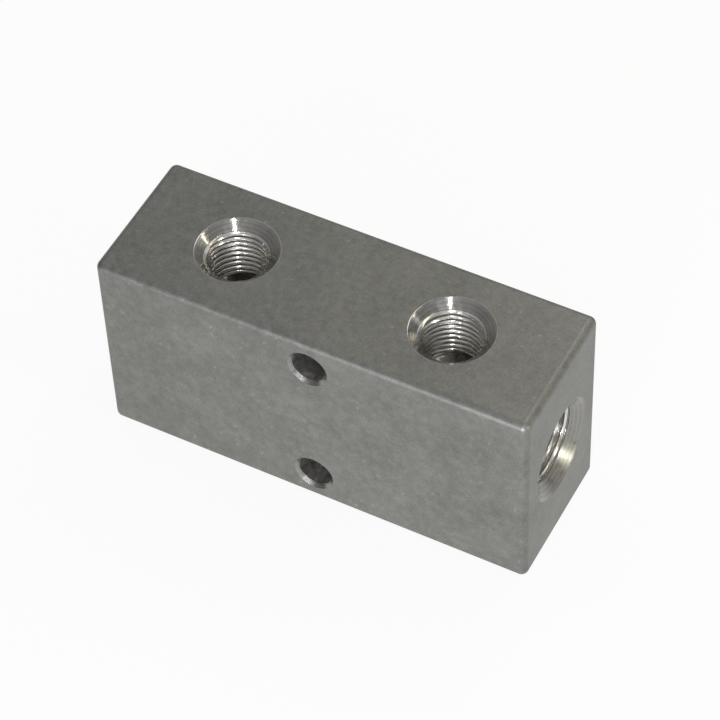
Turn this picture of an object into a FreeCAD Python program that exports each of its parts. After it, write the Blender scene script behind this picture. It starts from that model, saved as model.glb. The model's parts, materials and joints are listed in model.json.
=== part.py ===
import FreeCAD, Part

# Air manifold block for G threads: one block of aluminium, drilled, countersunk and tapped.
# A gallery runs the length of the block between two end ports. Two outlets open from the top
# into it, and two plain mounting holes cross the block, one above and one below the gallery.
# The frame: X along the block, Y from front to back, Z up, origin at the centre of the underside.

import os
import Sketcher

NODE = "manifold_block"

# Driving dimensions in millimetres and degrees. A bore or a rim is given by its diameter.
# A tapped bore is modelled at its tapping drill, which is where the thread's crests end.
DIMENSIONS = (
    ("block_length", 90, "along X"),
    ("block_width", 30, "along Y"),
    ("block_height", 45, "along Z"),
    ("edge_softening", 1.5, "radius that tumbling leaves on every edge"),
    ("gallery_bore", 14, "right through, on the block's centre line"),
    ("end_port_bore", 15.25, "tapping drill for G 3/8"),
    ("end_port_rim", 20.5, "mouth of the countersink"),
    ("end_port_depth", 15, "from the end face to the gallery's shoulder"),
    ("outlet_bore", 11.8, "tapping drill for G 1/4"),
    ("outlet_rim", 16.25, "mouth of the countersink"),
    ("outlet_spacing", 45, "between the two outlets' axes"),
    ("mounting_bore", 7, "clearance for an M6 screw"),
    ("mounting_rim", 8.4, "mouth of the small chamfer"),
    ("mounting_spacing", 31, "between the two mounting holes' axes"),
    ("countersink_angle", 90, "included angle of every countersink and chamfer"),
)


def make_sizes(doc):
    """The sheet that every feature takes its sizes from."""
    sheet = doc.addObject("Spreadsheet::Sheet", "sizes")
    for row, (alias, value, note) in enumerate(DIMENSIONS, start=1):
        sheet.set(f"A{row}", alias)
        sheet.set(f"B{row}", str(value))
        sheet.setAlias(f"B{row}", alias)
        sheet.set(f"C{row}", note)
    doc.recompute()


def plane_of(body, role):
    """One of the body's own origin planes, by its role."""
    return next(plane for plane in body.Origin.OriginFeatures if plane.Role == role)


def add_sketch(body, name, role, height="0"):
    """A sketch parallel to an origin plane, at a height along the plane's normal."""
    sketch = body.newObject("Sketcher::SketchObject", name)
    sketch.AttachmentSupport = [(plane_of(body, role), "")]
    sketch.MapMode = "FlatFace"
    sketch.setExpression(".AttachmentOffset.Base.z", height)
    return sketch


def bind(sketch, constraint, size):
    """Add a constraint whose value follows the sheet."""
    index = sketch.addConstraint(constraint)
    sketch.setExpression(f"Constraints[{index}]", size)


def draw_centred_rectangle(sketch, across, up):
    """Four lines about the sketch's origin, held by one symmetry and two sizes."""
    corners = [FreeCAD.Vector(x, y, 0) for x, y in ((-1, -1), (1, -1), (1, 1), (-1, 1))]
    for start, end in zip(corners, corners[1:] + corners[:1]):
        sketch.addGeometry(Part.LineSegment(start, end), False)
    for side, direction in enumerate(("Horizontal", "Vertical", "Horizontal", "Vertical")):
        sketch.addConstraint(Sketcher.Constraint("Coincident", side, 2, (side + 1) % 4, 1))
        sketch.addConstraint(Sketcher.Constraint(direction, side))
    sketch.addConstraint(Sketcher.Constraint("Symmetric", 0, 1, 1, 2, -1, 1))
    bind(sketch, Sketcher.Constraint("DistanceX", 0, 1, 0, 2, 2), across)
    bind(sketch, Sketcher.Constraint("DistanceY", 1, 1, 1, 2, 2), up)


def draw_circle(sketch, size, across=None, up=None):
    """A circle by diameter and centre; a coordinate left out keeps the centre on that axis."""
    circle = Part.Circle(FreeCAD.Vector(1, 1, 0), FreeCAD.Vector(0, 0, 1), 1)
    index = sketch.addGeometry(circle, False)
    bind(sketch, Sketcher.Constraint("Diameter", index, 2), size)
    for direction, axis, distance in (("DistanceX", -2, across), ("DistanceY", -1, up)):
        if distance is None:
            sketch.addConstraint(Sketcher.Constraint("PointOnObject", index, 3, axis))
        else:
            bind(sketch, Sketcher.Constraint(direction, -1, 1, index, 3, 1), distance)


def drill(body, name, sketch, bore, rim, depth=None):
    """Countersunk bores at a sketch's circles, right through where no depth is given."""
    body.Document.recompute()
    hole = body.newObject("PartDesign::Hole", name)
    hole.Profile = sketch
    hole.ThreadType = "None"
    hole.DrillPoint = "Flat"
    hole.HoleCutType = "Countersink"
    hole.setExpression("Diameter", bore)
    hole.setExpression("HoleCutDiameter", rim)
    hole.setExpression("HoleCutCountersinkAngle", "sizes.countersink_angle")
    if depth is None:
        hole.DepthType = "ThroughAll"
    else:
        hole.DepthType = "Dimension"
        hole.setExpression("Depth", depth)
    return hole


def mirror(body, name, feature, role):
    """The same feature again on the other side of an origin plane."""
    mirrored = body.newObject("PartDesign::Mirrored", name)
    mirrored.Originals = [feature]
    mirrored.MirrorPlane = (plane_of(body, role), [""])
    body.Tip = mirrored
    return mirrored


def make_blank(body):
    """The sawn and milled block with its tumbled edges."""
    outline = add_sketch(body, "blank_outline", "XY_Plane")
    draw_centred_rectangle(outline, "sizes.block_length", "sizes.block_width")
    blank = body.newObject("PartDesign::Pad", "blank")
    blank.Profile = outline
    blank.setExpression("Length", "sizes.block_height")
    body.Document.recompute()
    softened = body.newObject("PartDesign::Fillet", "softened_edges")
    softened.Base = (blank, [f"Edge{number}" for number, _ in enumerate(blank.Shape.Edges, start=1)])
    softened.setExpression("Radius", "sizes.edge_softening")
    return [blank, softened]


def bore_gallery(body):
    """The plain bore along the block's centre line, from end face to end face."""
    section = add_sketch(body, "gallery_section", "YZ_Plane")
    draw_circle(section, "sizes.gallery_bore", up="sizes.block_height / 2")
    gallery = body.newObject("PartDesign::Pocket", "gallery")
    gallery.Profile = section
    gallery.Type = "ThroughAll"
    gallery.Midplane = True
    return [gallery]


def bore_end_ports(body):
    """The tapping bore at the right end, countersunk, and its mirror image at the left end."""
    mouth = add_sketch(body, "end_port_mouth", "YZ_Plane", "sizes.block_length / 2")
    draw_circle(mouth, "sizes.end_port_bore", up="sizes.block_height / 2")
    right = drill(body, "end_port_right", mouth, "sizes.end_port_bore", "sizes.end_port_rim",
                  "sizes.end_port_depth")
    return [right, mirror(body, "end_port_left", right, "YZ_Plane")]


def bore_outlets(body):
    """Two countersunk tapping bores, from the top face down to the gallery's centre line."""
    mouths = add_sketch(body, "outlet_mouths", "XY_Plane", "sizes.block_height")
    draw_circle(mouths, "sizes.outlet_bore", across="-sizes.outlet_spacing / 2")
    draw_circle(mouths, "sizes.outlet_bore", across="sizes.outlet_spacing / 2")
    return [drill(body, "outlets", mouths, "sizes.outlet_bore", "sizes.outlet_rim",
                  "sizes.block_height / 2")]


def bore_mounting_holes(body):
    """Two plain holes from front to back, the mirror image giving the chamfers at the back."""
    mouths = add_sketch(body, "mounting_mouths", "XZ_Plane", "sizes.block_width / 2")
    for side in "-+":
        draw_circle(mouths, "sizes.mounting_bore",
                    up=f"(sizes.block_height {side} sizes.mounting_spacing) / 2")
    front = drill(body, "mounting_holes", mouths, "sizes.mounting_bore", "sizes.mounting_rim")
    return [front, mirror(body, "mounting_chamfers_back", front, "XZ_Plane")]


def make_block(doc):
    """The whole block, in the order in which it is machined."""
    body = doc.addObject("PartDesign::Body", NODE)
    body.Label = NODE
    features = make_blank(body)
    features += bore_gallery(body)
    features += bore_end_ports(body)
    features += bore_outlets(body)
    features += bore_mounting_holes(body)
    doc.recompute()
    check_cuts(features)
    return body


def check_cuts(features):
    """Each feature after the first has to take metal away from the one before it."""
    for earlier, later in zip(features, features[1:]):
        if not later.Shape.Volume < earlier.Shape.Volume:
            raise RuntimeError(f"{later.Label} takes nothing away")


def check_document(doc, bodies):
    """Stop where any object has failed or any sub-part's shape is unsound."""
    for item in doc.Objects:
        if {"Invalid", "Error"} & set(item.State):
            raise RuntimeError(f"{item.Label} has failed: {item.State}")
    for body in bodies:
        if body.Shape.isNull() or not body.Shape.isValid() or len(body.Shape.Solids) != 1:
            raise RuntimeError(f"{body.Label} isn't one sound solid")


def main():
    doc = FreeCAD.newDocument("air_manifold_block")
    make_sizes(doc)
    bodies = [make_block(doc)]
    check_document(doc, bodies)
    os.makedirs("parts", exist_ok=True)
    for body in bodies:
        body.Shape.exportStep(f"parts/{body.Label}.step")
        print(body.Label, "volume", round(body.Shape.Volume, 1), "mm3", body.Shape.BoundBox)


main()
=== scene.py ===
import json
import math

import bmesh
import bpy
from bpy.props import FloatProperty, FloatVectorProperty, IntProperty, PointerProperty
from mathutils import Matrix, Vector


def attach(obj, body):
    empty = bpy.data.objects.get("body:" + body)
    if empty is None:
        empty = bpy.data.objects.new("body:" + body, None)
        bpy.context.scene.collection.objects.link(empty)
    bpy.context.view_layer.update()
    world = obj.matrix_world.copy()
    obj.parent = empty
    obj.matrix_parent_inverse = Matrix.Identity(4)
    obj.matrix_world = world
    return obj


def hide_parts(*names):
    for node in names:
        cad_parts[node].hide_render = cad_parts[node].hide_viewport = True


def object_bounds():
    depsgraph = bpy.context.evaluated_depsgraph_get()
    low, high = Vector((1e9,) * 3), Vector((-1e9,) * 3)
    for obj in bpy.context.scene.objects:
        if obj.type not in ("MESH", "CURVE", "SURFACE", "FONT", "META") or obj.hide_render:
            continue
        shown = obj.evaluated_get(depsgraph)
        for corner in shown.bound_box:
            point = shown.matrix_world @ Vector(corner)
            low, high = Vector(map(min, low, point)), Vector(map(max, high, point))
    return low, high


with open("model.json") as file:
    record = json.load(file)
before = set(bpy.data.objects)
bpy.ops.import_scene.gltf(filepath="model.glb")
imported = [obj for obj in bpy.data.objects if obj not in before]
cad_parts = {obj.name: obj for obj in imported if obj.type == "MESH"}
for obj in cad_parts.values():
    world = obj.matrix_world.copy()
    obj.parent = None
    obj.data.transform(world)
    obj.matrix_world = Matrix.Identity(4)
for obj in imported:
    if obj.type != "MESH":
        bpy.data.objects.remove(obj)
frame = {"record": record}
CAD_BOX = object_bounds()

bl_info = {
    "name": "Air manifold block",
    "version": (1, 0, 0),
    "blender": (4, 5, 0),
    "location": "3D View > Sidebar > Manifold",
    "description": "A tapped aluminium manifold block in a plain studio",
    "category": "Object",
}

MM = 0.001
NODE = "manifold_block"

# The pipe thread's form: the angle between its flanks, the share of the pitch that lies between
# the bottom of the groove and the sharp corner where the flanks would meet, and the rounding.
THREAD_ANGLE = math.radians(55)
ROOT_TO_APEX = 0.16008
ROOT_ROUNDING = 0.08 * MM

# How far a cutter reaches past the surface that it leaves.
CUTTER_CLEAR = 2 * MM
GROOVE_OVERLAP = 0.3 * MM
RUN_OUT_CLEAR = 0.05 * MM

# The break of a port's mouth reaches this many times as far over the face as down the
# countersink, and its cutter stands above the face by one part in so many of the latter.
BREAK_OVER_FACE = 3
BREAK_LIFT = 5

# Corners sharper than this stay crisp.
CREASE = math.radians(35)


# Colours

def linear_colour(code):
    """An sRGB hex colour as linear red, green and blue."""
    parts = [int(code[i:i + 2], 16) / 255 for i in (0, 2, 4)]
    return [p / 12.92 if p <= 0.04045 else ((p + 0.055) / 1.055) ** 2.4 for p in parts]


# Settings

class ManifoldSizes(bpy.types.PropertyGroup):
    """What the block's machining leaves, beyond what the frame already says."""

    edge_softening: FloatProperty(
        name="Edge softening", description="Radius that tumbling leaves on every edge",
        default=1.5 * MM, min=0.0, unit="LENGTH")
    gallery_bore: FloatProperty(
        name="Gallery", description="Diameter of the bore along the block",
        default=14 * MM, min=0.0, unit="LENGTH")
    end_port_depth: FloatProperty(
        name="End port depth", description="From the end face to the gallery's shoulder",
        default=15 * MM, min=0.0, unit="LENGTH")
    end_port_rim: FloatProperty(
        name="End port rim", description="Diameter of the countersink's mouth",
        default=20.5 * MM, min=0.0, unit="LENGTH")
    outlet_rim: FloatProperty(
        name="Outlet rim", description="Diameter of the countersink's mouth",
        default=16.25 * MM, min=0.0, unit="LENGTH")
    mounting_rim: FloatProperty(
        name="Mounting hole rim", description="Diameter of the small chamfer's mouth",
        default=8.4 * MM, min=0.0, unit="LENGTH")
    mouth_break: FloatProperty(
        name="Mouth break", description="How far the rounded edge of a port's mouth reaches outwards",
        default=0.15 * MM, min=0.0, unit="LENGTH")


class ManifoldThreads(bpy.types.PropertyGroup):
    """The two pipe threads, both with flanks at 55 degrees and 19 turns to the inch."""

    pitch: FloatProperty(
        name="Pitch", description="From one turn to the next, in both sizes of thread",
        default=1.337 * MM, min=0.1 * MM, unit="LENGTH")
    outlet_major: FloatProperty(
        name="Outlet thread", description="Diameter at the bottom of the groove",
        default=13.157 * MM, min=0.0, unit="LENGTH")
    outlet_length: FloatProperty(
        name="Outlet thread depth", description="From the top face to the last full turn",
        default=12.6 * MM, min=0.0, unit="LENGTH")
    outlet_left_start: FloatProperty(
        name="Left outlet start", description="Where round the mouth the groove begins",
        default=math.radians(119), subtype="ANGLE")
    outlet_right_start: FloatProperty(
        name="Right outlet start", description="Where round the mouth the groove begins",
        default=math.radians(62), subtype="ANGLE")
    end_port_major: FloatProperty(
        name="End port thread", description="Diameter at the bottom of the groove",
        default=16.662 * MM, min=0.0, unit="LENGTH")
    end_port_length: FloatProperty(
        name="End port thread depth", description="From the end face to the last full turn",
        default=12.5 * MM, min=0.0, unit="LENGTH")
    end_port_start: FloatProperty(
        name="End port start", description="Where round the mouth the groove begins",
        default=math.radians(178), subtype="ANGLE")
    run_out: FloatProperty(
        name="Run-out", description="Turns over which the groove fades at its end",
        default=1.0, min=0.1)
    steps: IntProperty(
        name="Steps per turn", description="Straight runs in one turn, and sides of a round bore",
        default=96, min=12)


class ManifoldFinish(bpy.types.PropertyGroup):
    """The colours of the metal and of the studio."""

    tumbled: FloatVectorProperty(
        name="Tumbled faces", description="Grey of the outside faces",
        subtype="COLOR", size=3, min=0.0, max=1.0, default=linear_colour("80807C"))
    tapped: FloatVectorProperty(
        name="Tapped", description="Bright metal of the threads, cut last",
        subtype="COLOR", size=3, min=0.0, max=1.0, default=linear_colour("D8D6D1"))
    countersunk: FloatVectorProperty(
        name="Countersunk", description="Metal of the outlets' countersinks",
        subtype="COLOR", size=3, min=0.0, max=1.0, default=linear_colour("B2B1AD"))
    # The side countersinks' darker grey is painted shade, for the dimmer surroundings they mirror.
    chamfered: FloatVectorProperty(
        name="Chamfered", description="Duller metal of the countersinks on the block's sides",
        subtype="COLOR", size=3, min=0.0, max=1.0, default=linear_colour("93928E"))
    drilled: FloatVectorProperty(
        name="Drilled", description="Metal of the plain bores",
        subtype="COLOR", size=3, min=0.0, max=1.0, default=linear_colour("BCBBB7"))
    tapped_roughness: FloatProperty(
        name="Tapped roughness", description="How much the threads blur a reflection",
        default=0.22, min=0.0, max=1.0)
    countersunk_roughness: FloatProperty(
        name="Countersunk roughness", description="How much the countersinks blur a reflection",
        default=0.15, min=0.0, max=1.0)
    chamfered_roughness: FloatProperty(
        name="Chamfered roughness", description="How much the side countersinks blur a reflection",
        default=0.33, min=0.0, max=1.0)
    drilled_roughness: FloatProperty(
        name="Drilled roughness", description="How much the plain bores blur a reflection",
        default=0.48, min=0.0, max=1.0)
    floor: FloatVectorProperty(
        name="Floor", description="Pale floor that the block stands on",
        subtype="COLOR", size=3, min=0.0, max=1.0, default=linear_colour("F4F4F4"))


# Node trees

def add_node(tree, kind, links=None, values=None, **settings):
    """Add a node, set its own settings, then its unlinked values, then link what feeds it."""
    node = tree.nodes.new(kind)
    for name, value in settings.items():
        setattr(node, name, value)
    for key, value in (values or {}).items():
        node.inputs[key].default_value = value
    for key, source in (links or {}).items():
        tree.links.new(source, node.inputs[key])
    return node


def groove_tree():
    """The helical groove that a tap cuts, as a solid to take out of a bore's wall.

    A trapezium is swept down a right-hand helix about Z. It reaches a little inside the bore,
    and over the last turns it draws in until it has left the wall.
    """
    tree = bpy.data.node_groups.new("tapped_groove", "GeometryNodeTree")
    socket = tree.interface.new_socket
    for name, kind in (("Turns", "Float"), ("Steps per Turn", "Int"), ("Pitch", "Float"),
                       ("Start Height", "Float"), ("Start Angle", "Float"),
                       ("Inner Radius", "Float"), ("Outer Radius", "Float"),
                       ("Inner Width", "Float"), ("Outer Width", "Float"),
                       ("Root Rounding", "Float"), ("Run-out Turns", "Float"),
                       ("Run-out Depth", "Float"), ("Material", "Material")):
        socket(name=name, in_out="INPUT", socket_type=f"NodeSocket{kind}")
    socket(name="Groove", in_out="OUTPUT", socket_type="NodeSocketGeometry")
    given = add_node(tree, "NodeGroupInput").outputs

    def math_of(operation, first, second):
        links = {}
        values = {}
        for key, term in ((0, first), (1, second)):
            (values if isinstance(term, (int, float)) else links)[key] = term
        return add_node(tree, "ShaderNodeMath", links, values, operation=operation).outputs[0]

    steps = math_of("MULTIPLY", given["Turns"], given["Steps per Turn"])
    line = add_node(tree, "GeometryNodeCurvePrimitiveLine").outputs["Curve"]
    path = add_node(tree, "GeometryNodeResampleCurve", {"Curve": line, "Count": steps})
    along = add_node(tree, "GeometryNodeSplineParameter").outputs["Factor"]
    turned = math_of("MULTIPLY", along, given["Turns"])
    swept = math_of("MULTIPLY", turned, math.tau)
    angle = math_of("SUBTRACT", given["Start Angle"], swept)
    height = math_of("SUBTRACT", given["Start Height"],
                     math_of("MULTIPLY", turned, given["Pitch"]))
    full_turns = math_of("SUBTRACT", given["Turns"], given["Run-out Turns"])
    drawn_in = add_node(tree, "ShaderNodeMapRange",
                        {"Value": turned, "From Min": full_turns, "From Max": given["Turns"],
                         "To Max": given["Run-out Depth"]}, {"To Min": 0.0}).outputs["Result"]
    middle = math_of("MULTIPLY", math_of("ADD", given["Inner Radius"], given["Outer Radius"]), 0.5)
    radius = math_of("SUBTRACT", middle, drawn_in)
    place = add_node(tree, "ShaderNodeCombineXYZ",
                     {"X": math_of("MULTIPLY", radius, math_of("COSINE", angle, 0.0)),
                      "Y": math_of("MULTIPLY", radius, math_of("SINE", angle, 0.0)),
                      "Z": height}).outputs["Vector"]
    helix = add_node(tree, "GeometryNodeSetPosition",
                     {"Geometry": path.outputs["Curve"], "Position": place}).outputs["Geometry"]
    upright = add_node(tree, "GeometryNodeSetCurveNormal", {"Curve": helix}, mode="Z_UP")
    section = add_node(tree, "GeometryNodeCurvePrimitiveQuadrilateral",
                       {"Height": math_of("SUBTRACT", given["Outer Radius"], given["Inner Radius"]),
                        "Bottom Width": given["Inner Width"], "Top Width": given["Outer Width"]},
                       {"Offset": 0.0}, mode="TRAPEZOID").outputs["Curve"]
    rounded = add_node(tree, "GeometryNodeFilletCurve",
                       {"Curve": section, "Radius": given["Root Rounding"]},
                       {"Count": 3, "Limit Radius": True}, mode="POLY").outputs["Curve"]
    turned_section = add_node(tree, "GeometryNodeTransform", {"Geometry": rounded},
                              {"Rotation": (0.0, 0.0, math.radians(90))}).outputs["Geometry"]
    solid = add_node(tree, "GeometryNodeCurveToMesh",
                     {"Curve": upright.outputs["Curve"], "Profile Curve": turned_section},
                     {"Fill Caps": True}).outputs["Mesh"]
    real = add_node(tree, "GeometryNodeRealizeInstances", {"Geometry": solid}).outputs["Geometry"]
    dressed = add_node(tree, "GeometryNodeSetMaterial",
                       {"Geometry": real, "Material": given["Material"]}).outputs["Geometry"]
    add_node(tree, "NodeGroupOutput", {"Groove": dressed})
    return tree


def run_tree(tree, inputs):
    """The plain mesh that a geometry tree makes from named inputs."""
    carrier = bpy.data.objects.new("carrier", bpy.data.meshes.new("carrier"))
    bpy.context.scene.collection.objects.link(carrier)
    modifier = carrier.modifiers.new("tree", "NODES")
    modifier.node_group = tree
    for item in tree.interface.items_tree:
        if item.in_out == "INPUT":
            modifier[item.identifier] = inputs[item.name]
    mesh = finished_mesh(carrier)
    bpy.data.objects.remove(carrier)
    return mesh


def finished_mesh(piece):
    """A mesh of its own with the piece's modifiers worked in."""
    evaluated = piece.evaluated_get(bpy.context.evaluated_depsgraph_get())
    return bpy.data.meshes.new_from_object(evaluated)


# Materials

def new_material(name):
    """A material with an empty tree, and its tree."""
    material = bpy.data.materials.new(name)
    material.use_nodes = True
    material.node_tree.nodes.clear()
    return material, material.node_tree


def scaled_noise(tree, place, grain, detail):
    """Noise whose grains are about this wide, from the surface's own place."""
    return add_node(tree, "ShaderNodeTexNoise", {"Vector": place},
                    {"Scale": 1 / grain, "Detail": detail, "Roughness": 0.6}).outputs["Fac"]


def tumbled_aluminium(finish):
    """Milled aluminium after vibratory tumbling: an even, dull grey satin.

    It gives the eye a soft sheen, a fine sandy speckle, cloudy patches and a few pale nicks.
    """
    material, tree = new_material("tumbled_aluminium")
    place = add_node(tree, "ShaderNodeTexCoord").outputs["Object"]
    # The media leave dents of some 0.1 mm, drawn here at 0.35 mm so that they show.
    dents = scaled_noise(tree, place, 0.35 * MM, 2.0)
    # Uneven tumbling clouds the grey, and knocks against other blocks leave the nicks.
    clouds = scaled_noise(tree, place, 1.8 * MM, 3.0)
    shadows = scaled_noise(tree, place, 13 * MM, 2.0)
    nicks = scaled_noise(tree, place, 0.9 * MM, 0.0)
    tone = add_node(tree, "ShaderNodeMix", {"A": dents, "B": clouds}, {"Factor": 0.5}).outputs["Result"]
    tone = add_node(tree, "ShaderNodeMix", {"A": tone, "B": shadows}, {"Factor": 0.25}).outputs["Result"]
    shade = add_node(tree, "ShaderNodeMapRange", {"Value": tone},
                     {"From Min": 0.38, "From Max": 0.62, "To Min": 0.80, "To Max": 1.20})
    pale = add_node(tree, "ShaderNodeMapRange", {"Value": nicks},
                    {"From Min": 0.80, "From Max": 0.86, "To Min": 0.0, "To Max": 0.3})
    level = add_node(tree, "ShaderNodeMath", {0: shade.outputs["Result"], 1: pale.outputs["Result"]},
                     operation="ADD").outputs[0]
    colour = add_node(tree, "ShaderNodeVectorMath", {"Scale": level},
                      {0: tuple(finish.tumbled)}, operation="SCALE").outputs["Vector"]
    rough = add_node(tree, "ShaderNodeMapRange", {"Value": clouds},
                     {"From Min": 0.3, "From Max": 0.7, "To Min": 0.46, "To Max": 0.54})
    bump = add_node(tree, "ShaderNodeBump", {"Height": dents},
                    {"Strength": 0.35, "Distance": 0.03 * MM})
    shader = add_node(tree, "ShaderNodeBsdfPrincipled",
                      {"Base Color": colour, "Roughness": rough.outputs["Result"],
                       "Normal": bump.outputs["Normal"]}, {"Metallic": 1.0})
    add_node(tree, "ShaderNodeOutputMaterial", {"Surface": shader.outputs["BSDF"]})
    return material


def machined_aluminium(name, colour, roughness, axis, ring, relief):
    """Aluminium as a drill, a countersink or a tap leaves it: bright, with fine turned rings.

    The rings stand across the bore's axis, one for each turn of the cutter.
    """
    material, tree = new_material(f"{name}_aluminium_{axis.lower()}")
    place = add_node(tree, "ShaderNodeTexCoord").outputs["Object"]
    # A wave texture at a scale of 1 has this many bands in a unit of length.
    bands_in_a_unit = 20 / math.tau
    rings = add_node(tree, "ShaderNodeTexWave", {"Vector": place},
                     {"Scale": 1 / (ring * bands_in_a_unit), "Distortion": 1.2, "Detail": 2.0,
                      "Detail Scale": 1.5},
                     wave_type="BANDS", bands_direction=axis).outputs["Fac"]
    smears = scaled_noise(tree, place, 1.0 * MM, 2.0)
    worn = add_node(tree, "ShaderNodeMix", {"A": smears, "B": rings}, {"Factor": 0.3}).outputs["Result"]
    tone = add_node(tree, "ShaderNodeMapRange", {"Value": worn},
                    {"From Min": 0.2, "From Max": 0.8, "To Min": 0.8, "To Max": 1.15})
    shade = add_node(tree, "ShaderNodeVectorMath", {"Scale": tone.outputs["Result"]},
                     {0: tuple(colour)}, operation="SCALE").outputs["Vector"]
    rough = add_node(tree, "ShaderNodeMapRange", {"Value": smears},
                     {"From Min": 0.3, "From Max": 0.7, "To Min": 0.8 * roughness,
                      "To Max": 1.2 * roughness})
    bump = add_node(tree, "ShaderNodeBump", {"Height": rings}, {"Strength": 0.3, "Distance": relief})
    shader = add_node(tree, "ShaderNodeBsdfPrincipled",
                      {"Base Color": shade, "Roughness": rough.outputs["Result"],
                       "Normal": bump.outputs["Normal"]}, {"Metallic": 1.0})
    add_node(tree, "ShaderNodeOutputMaterial", {"Surface": shader.outputs["BSDF"]})
    return material


def tapped_aluminium(finish, axis):
    """A tap leaves the finest rings on its flanks; they are drawn at 0.35 mm, to show."""
    return machined_aluminium("tapped", finish.tapped, finish.tapped_roughness, axis,
                              0.35 * MM, 0.003 * MM)


def countersunk_aluminium(finish, axis):
    """A countersink feeds 0.1 mm a turn; its rings are drawn at 0.6 mm, to show."""
    return machined_aluminium("countersunk", finish.countersunk, finish.countersunk_roughness, axis,
                              0.6 * MM, 0.01 * MM)


def chamfered_aluminium(finish, axis):
    """On the block's sides the countersinks are duller, and their grey is darker than the outlets'
    countersinks: painted shade, standing for the dimmer surroundings that they mirror.

    Their rings are drawn at 0.6 mm too.
    """
    return machined_aluminium("chamfered", finish.chamfered, finish.chamfered_roughness, axis,
                              0.6 * MM, 0.01 * MM)


def drilled_aluminium(finish, axis):
    """A drill feeds 0.2 mm a turn and rubs its wall dull; its rings are drawn at 0.5 mm."""
    return machined_aluminium("drilled", finish.drilled, finish.drilled_roughness, axis,
                              0.5 * MM, 0.02 * MM)


# Shapes

def new_object(name, data):
    """An object in the scene that shows this mesh, lamp or camera."""
    made = bpy.data.objects.new(name, data)
    bpy.context.scene.collection.objects.link(made)
    return made


def softened_block(low, high, radius, material):
    """The outside of the block, its edges rounded as tumbling leaves them."""
    segments = 8
    shape = bmesh.new()
    bmesh.ops.create_cube(shape, size=1.0)
    size = high - low
    bmesh.ops.scale(shape, vec=size, verts=shape.verts)
    bmesh.ops.translate(shape, vec=(low + high) / 2, verts=shape.verts)
    bmesh.ops.bevel(shape, geom=shape.edges[:], offset=radius, offset_type="OFFSET",
                    segments=segments, profile=0.5, affect="EDGES")
    mesh = bpy.data.meshes.new("softened_block")
    shape.to_mesh(mesh)
    shape.free()
    mesh.materials.append(material)
    return mesh


def turned_solid(profile, sides, materials):
    """A solid of revolution about Z from (radius, height) points, closed by a flat disc each end.

    Each stretch of the profile has its own material.
    """
    shape = bmesh.new()
    rings = [[shape.verts.new((radius * math.cos(math.tau * i / sides),
                               radius * math.sin(math.tau * i / sides), height))
              for i in range(sides)] for radius, height in profile]
    shape.faces.new(rings[0])
    shape.faces.new(rings[-1])
    for stretch, (first, second) in enumerate(zip(rings, rings[1:])):
        for i in range(sides):
            j = (i + 1) % sides
            face = shape.faces.new((first[i], first[j], second[j], second[i]))
            face.material_index = stretch
    bmesh.ops.recalc_face_normals(shape, faces=shape.faces)
    mesh = bpy.data.meshes.new("turned_solid")
    shape.to_mesh(mesh)
    shape.free()
    for material in materials:
        mesh.materials.append(material)
    return mesh


def countersunk_profile(rim, bore, depth, reach):
    """A bore under a countersink at 90 degrees, its mouth broken by a slight slope."""
    inset = reach / BREAK_OVER_FACE
    lift = inset / BREAK_LIFT
    outside = rim + reach + lift * (reach + inset) / inset
    return [(outside, CUTTER_CLEAR), (outside, lift), (rim - inset, -inset), (bore, bore - rim),
            (bore, -depth)]


def through_profile(rim, bore, depth):
    """A bore right through, with a chamfer at 90 degrees at each end."""
    outside = rim + CUTTER_CLEAR
    return [(outside, CUTTER_CLEAR), (bore, bore - rim),
            (bore, rim - bore - depth), (outside, -depth - CUTTER_CLEAR)]


def cut(mesh, cutters):
    """Take the cutters out of the mesh, one by one. A cut face gets its cutter's material."""
    body = new_object("cutting", mesh)
    tools = [new_object("cutter", cutter) for cutter in cutters]
    for tool in tools:
        modifier = body.modifiers.new("cut", "BOOLEAN")
        modifier.operation = "DIFFERENCE"
        modifier.solver = "EXACT"
        modifier.material_mode = "TRANSFER"
        modifier.object = tool
    made = finished_mesh(body)
    for item in (body, *tools):
        bpy.data.objects.remove(item)
    return made


def shaded(mesh, tapped):
    """Smooth shading, crisp at every corner but those of the threads, which a tap rounds over."""
    mesh.shade_smooth()
    threads = {i for i, material in enumerate(mesh.materials) if material in tapped}
    shape = bmesh.new()
    shape.from_mesh(mesh)
    for edge in shape.edges:
        metals = {face.material_index for face in edge.link_faces}
        edge.smooth = metals <= threads or edge.calc_face_angle(0.0) < CREASE
    shape.to_mesh(mesh)
    shape.free()
    body = new_object("shading", mesh)
    body.modifiers.new("shading", "WEIGHTED_NORMAL").keep_sharp = True
    made = finished_mesh(body)
    bpy.data.objects.remove(body)
    return made


# Ports

def mount_of(name):
    """One of the record's mounts."""
    return next(mount for mount in frame["record"]["mounts"] if mount["name"] == name)


def mouth_of(mount):
    """The matrix that puts a shape at a mount's mouth, its Z pointing out of the block."""
    axis = Vector(mount["axis"])
    place = Vector(mount["pos_m"])
    face = CAD_BOX[1] if sum(axis) > 0 else CAD_BOX[0]
    for i in range(3):
        if abs(axis[i]) > 0.5:
            place[i] = face[i]
    return Matrix.Translation(place) @ axis.to_track_quat("Z", "Y").to_matrix().to_4x4()


def placed(mesh, matrix):
    """The same mesh, moved to its place."""
    mesh.transform(matrix)
    return mesh


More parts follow.
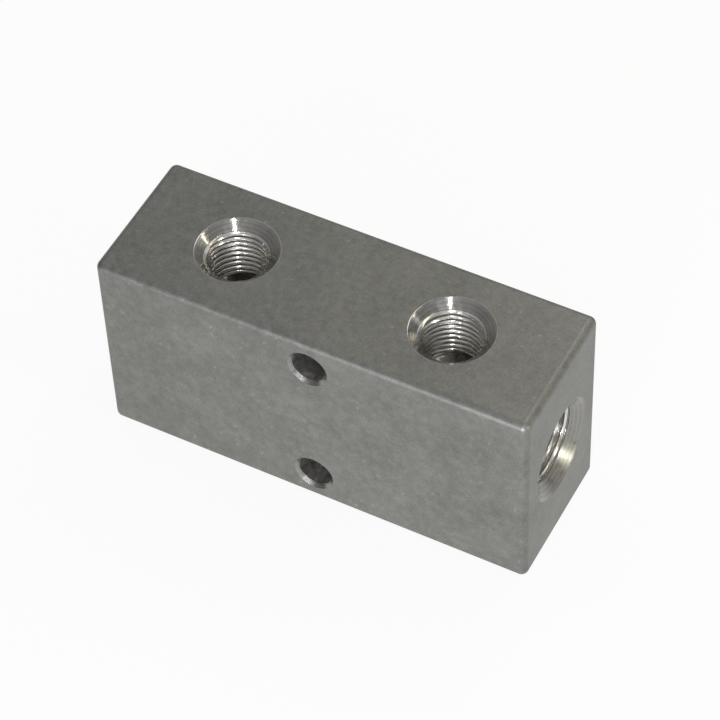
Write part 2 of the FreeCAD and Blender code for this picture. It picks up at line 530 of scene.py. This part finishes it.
def groove(threads, rim, bore, major, length, start_angle, material, tree):
    """The groove of one thread, in the frame of its mouth.

    It begins where the countersink is still as wide as the groove, so that it runs out there.
    The start is turned to the middle of one of the bore's flat sides, so that no two edges meet.
    """
    flank = math.tan(THREAD_ANGLE / 2)
    outer = major / 2
    apex = outer + ROOT_TO_APEX * threads.pitch
    inner = bore - GROOVE_OVERLAP
    start = apex - rim
    side = math.tau / threads.steps
    return run_tree(tree, {
        "Turns": (length + start) / threads.pitch + threads.run_out,
        "Steps per Turn": threads.steps, "Pitch": threads.pitch,
        "Start Height": start, "Start Angle": (start_angle // side + 0.5) * side,
        "Inner Radius": inner, "Outer Radius": outer,
        "Inner Width": 2 * flank * (apex - inner), "Outer Width": 2 * flank * (apex - outer),
        "Root Rounding": ROOT_ROUNDING, "Run-out Turns": threads.run_out,
        "Run-out Depth": outer - bore + RUN_OUT_CLEAR, "Material": material})


def gallery_cutter(sizes, threads, material):
    """The plain bore along the block's centre line, long enough to clear both ends."""
    low, high = CAD_BOX
    length = (high - low)[0]
    centre = Matrix.Translation((low + high) / 2) @ Matrix.Rotation(math.radians(90), 4, "Y")
    bore = sizes.gallery_bore / 2
    profile = [(bore, -length), (bore, length)]
    return placed(turned_solid(profile, threads.steps, [material]), centre)


def port_cutters(name, port, start, sizes, threads, tree):
    """One tapped port: its countersunk bore, then the groove of its thread."""
    rim, depth, major, thread_length, sunk, tapped = port
    mount = mount_of(name)
    mouth = mouth_of(mount)
    bore = mount["dims"]["r_mm"] * MM
    profile = countersunk_profile(rim, bore, depth, sizes.mouth_break)
    turned = turned_solid(profile, threads.steps, [sunk, sunk, sunk, tapped])
    wound = groove(threads, rim, bore, major, thread_length, start, tapped, tree)
    return [placed(turned, mouth), placed(wound, mouth)]


def mounting_cutters(sizes, threads, sunk, drilled):
    """The two plain holes from front to back, chamfered at both ends."""
    pattern = mount_of("mounting_holes")
    width = (CAD_BOX[1] - CAD_BOX[0])[1]
    profile = through_profile(sizes.mounting_rim / 2, pattern["dims"]["hole_r_mm"] * MM, width)
    cutters = []
    for side in (-1, 1):
        rise = Matrix.Translation((0, 0, side * pattern["dims"]["spacing_y_mm"] * MM / 2))
        turned = turned_solid(profile, threads.steps, [sunk, drilled, sunk])
        cutters.append(placed(turned, rise @ mouth_of(pattern)))
    return cutters


class MANIFOLD_OT_block(bpy.types.Operator):
    """Build the block with its bores, countersinks and threads"""

    bl_idname = "manifold.block"
    bl_label = "Block"

    def execute(self, context):
        sizes = context.scene.manifold_sizes
        threads = context.scene.manifold_threads
        finish = context.scene.manifold_finish
        outside = tumbled_aluminium(finish)
        drilled_x, drilled_y = (drilled_aluminium(finish, axis) for axis in "XY")
        sunk_x, sunk_y = (chamfered_aluminium(finish, axis) for axis in "XY")
        sunk_z = countersunk_aluminium(finish, "Z")
        tapped_x, tapped_z = (tapped_aluminium(finish, axis) for axis in "XZ")
        tree = groove_tree()
        low, high = CAD_BOX
        height = (high - low)[2]
        # Each kind of port: its rim's radius, its depth, its thread's diameter and depth, and
        # the metals of its countersink and its thread.
        end_port = (sizes.end_port_rim / 2, sizes.end_port_depth, threads.end_port_major,
                    threads.end_port_length, sunk_x, tapped_x)
        outlet = (sizes.outlet_rim / 2, height / 2, threads.outlet_major,
                  threads.outlet_length, sunk_z, tapped_z)
        cutters = [gallery_cutter(sizes, threads, drilled_x)]
        for name, port, start in (("end_port_left", end_port, threads.end_port_start),
                                  ("end_port_right", end_port, threads.end_port_start),
                                  ("outlet_left", outlet, threads.outlet_left_start),
                                  ("outlet_right", outlet, threads.outlet_right_start)):
            cutters += port_cutters(name, port, start, sizes, threads, tree)
        cutters += mounting_cutters(sizes, threads, sunk_y, drilled_y)
        mesh = cut(softened_block(low, high, sizes.edge_softening, outside), cutters)
        block = new_object("tapped_block", shaded(mesh, {tapped_x, tapped_z}))
        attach(block, "root")
        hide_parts(NODE)
        return {"FINISHED"}


# Studio

def direction(azimuth, elevation):
    """The unit vector of a direction given in degrees."""
    turn = math.radians(azimuth)
    rise = math.radians(elevation)
    return Vector((math.cos(rise) * math.cos(turn), math.cos(rise) * math.sin(turn), math.sin(rise)))


CAMERA_PLACE = Vector((0.18940, -0.32653, 0.47144))
CAMERA_AIM = Vector((0.00124, 0.00273, 0.02250))
CAMERA_ROLL = math.radians(-2.69)
CAMERA_LENS = 153.9
SENSOR_WIDTH = 36

# Each lamp: name, direction and height in degrees, distance, width and height of its panel,
# lean in degrees, power, colour. Directions run anticlockwise from the block's right end.
LAMPS = (
    ("tube", (303.7, 57.6), 0.90, (0.018, 0.57), 0, 1.3, "FFFFFF"),
    ("behind", (80, 52), 0.45, (0.14, 0.14), 0, 0.24, "FFFBEC"),
    ("front", (280, 5), 0.90, (0.35, 0.10), 0, 6.0, "F6F7FF"),
    ("screen", (294, 19), 0.90, (1.30, 0.64), 0, 0.90, "F6F7FF"),
    ("fill", (326, 38), 0.90, (0.30, 0.20), 0, 0.06, "EEF4FF"),
    ("window", (31, 38), 0.90, (0.02, 0.50), 27, 0.35, "FFF3D6"),
    ("spot_front", (281, 33), 0.90, (0.03, 0.03), 0, 0.30, "FFFFFF"),
    ("spot_right", (354, 17), 0.90, (0.04, 0.03), 0, 1.60, "FFFBEC"),
    ("right", (9, 11), 0.90, (1.20, 0.40), 0, 0.54, "F8F6E2"),
    ("corner", (50, 32), 0.90, (0.50, 0.40), 0, 0.20, "FFFFFF"),
)

# Each part of the sky's light: where it is strongest, and how strong it is there.
SKY = ((direction(0, 90), 0.57), (direction(120, 0), 0.30))

# How much of the floor's white is light of its own, for the camera and for what mirrors it.
FLOOR_GLOW = 0.9


def studio_floor(finish):
    """Smooth white paper, which the camera and the metal see as a plain white ground."""
    material, tree = new_material("white_paper")
    ray = add_node(tree, "ShaderNodeLightPath").outputs
    seen = ray["Is Camera Ray"]
    for other in ("Is Glossy Ray", "Is Transmission Ray"):
        seen = add_node(tree, "ShaderNodeMath", {0: seen, 1: ray[other]}, operation="MAXIMUM").outputs[0]
    share = add_node(tree, "ShaderNodeMath", {0: seen}, {1: FLOOR_GLOW},
                     operation="MULTIPLY").outputs[0]
    paper = add_node(tree, "ShaderNodeBsdfDiffuse", None, {"Color": (*finish.floor, 1.0)})
    glow = add_node(tree, "ShaderNodeEmission", None, {"Color": (1, 1, 1, 1), "Strength": 1.0})
    both = add_node(tree, "ShaderNodeMixShader", {0: share, 1: paper.outputs["BSDF"],
                                                  2: glow.outputs["Emission"]})
    add_node(tree, "ShaderNodeOutputMaterial", {"Surface": both.outputs["Shader"]})
    return material


def light_world(scene):
    """Soft light from all round, stronger from above and from behind the block."""
    world = bpy.data.worlds.new("studio")
    scene.world = world
    world.use_nodes = True
    tree = world.node_tree
    tree.nodes.clear()
    way = add_node(tree, "ShaderNodeTexCoord").outputs["Generated"]
    parts = []
    for brightest, strength in SKY:
        share = add_node(tree, "ShaderNodeVectorMath", {0: way}, {1: tuple(brightest)},
                         operation="DOT_PRODUCT").outputs["Value"]
        parts.append(add_node(tree, "ShaderNodeMapRange", {"Value": share},
                              {"To Max": strength}).outputs["Result"])
    level = add_node(tree, "ShaderNodeMath", {0: parts[0], 1: parts[1]}, operation="ADD").outputs[0]
    light = add_node(tree, "ShaderNodeBackground", {"Strength": level}, {"Color": (1, 1, 1, 1)})
    add_node(tree, "ShaderNodeOutputWorld", {"Surface": light.outputs["Background"]})


def facing(item, place, aim, lean=0.0):
    """Put a lamp or a camera at a place, turn it to look at a point and lean it about its line."""
    item.location = place
    item.rotation_mode = "QUATERNION"
    upright = (place - aim).to_track_quat("Z", "Y")
    item.rotation_quaternion = upright @ Matrix.Rotation(lean, 4, "Z").to_quaternion()


def lay_floor(finish):
    """A wide square of paper, a hair below the block so that the two faces don't meet."""
    reach = 3.0
    below = -0.02 * MM
    corners = [(-reach, -reach, below), (reach, -reach, below),
               (reach, reach, below), (-reach, reach, below)]
    mesh = bpy.data.meshes.new("floor")
    mesh.from_pydata(corners, [], [(0, 1, 2, 3)])
    mesh.materials.append(studio_floor(finish))
    return new_object("floor", mesh)


def hang_lamps():
    """The lamps, each turned to the middle of the block."""
    for name, way, distance, panel, lean, power, colour in LAMPS:
        lamp = bpy.data.lights.new(name, "AREA")
        lamp.shape = "RECTANGLE"
        lamp.size, lamp.size_y = panel
        lamp.energy = power
        lamp.color = linear_colour(colour)
        facing(new_object(name, lamp), CAMERA_AIM + distance * direction(*way), CAMERA_AIM,
               math.radians(lean))


def place_camera(scene):
    """The camera, where the photograph was taken from."""
    camera = new_object("camera", bpy.data.cameras.new("camera"))
    camera.data.lens = CAMERA_LENS
    camera.data.sensor_width = SENSOR_WIDTH
    facing(camera, CAMERA_PLACE, CAMERA_AIM, CAMERA_ROLL)
    scene.camera = camera


class MANIFOLD_OT_studio(bpy.types.Operator):
    """Make the floor, the lamps and the camera"""

    bl_idname = "manifold.studio"
    bl_label = "Studio"

    def execute(self, context):
        scene = context.scene
        lay_floor(scene.manifold_finish)
        hang_lamps()
        light_world(scene)
        place_camera(scene)
        scene.view_settings.view_transform = "Standard"
        return {"FINISHED"}


# Panel and registration

OPERATORS = (MANIFOLD_OT_studio, MANIFOLD_OT_block)
GROUPS = {"manifold_sizes": ManifoldSizes, "manifold_threads": ManifoldThreads,
          "manifold_finish": ManifoldFinish}


class MANIFOLD_PT_panel(bpy.types.Panel):
    """The sizes, the colours and the steps that use them"""

    bl_idname = "MANIFOLD_PT_panel"
    bl_label = "Air manifold block"
    bl_space_type = "VIEW_3D"
    bl_region_type = "UI"
    bl_category = "Manifold"

    def draw(self, context):
        for name, group in GROUPS.items():
            for prop in group.__annotations__:
                self.layout.prop(getattr(context.scene, name), prop)
        for operator in OPERATORS:
            self.layout.operator(operator.bl_idname)


CLASSES = (*GROUPS.values(), *OPERATORS, MANIFOLD_PT_panel)


def register():
    for item in CLASSES:
        bpy.utils.register_class(item)
    for name, group in GROUPS.items():
        setattr(bpy.types.Scene, name, PointerProperty(type=group))


def unregister():
    for name in GROUPS:
        delattr(bpy.types.Scene, name)
    for item in reversed(CLASSES):
        bpy.utils.unregister_class(item)


def main():
    register()
    bpy.ops.manifold.studio()
    bpy.ops.manifold.block()


if __name__ == "__main__":
    main()
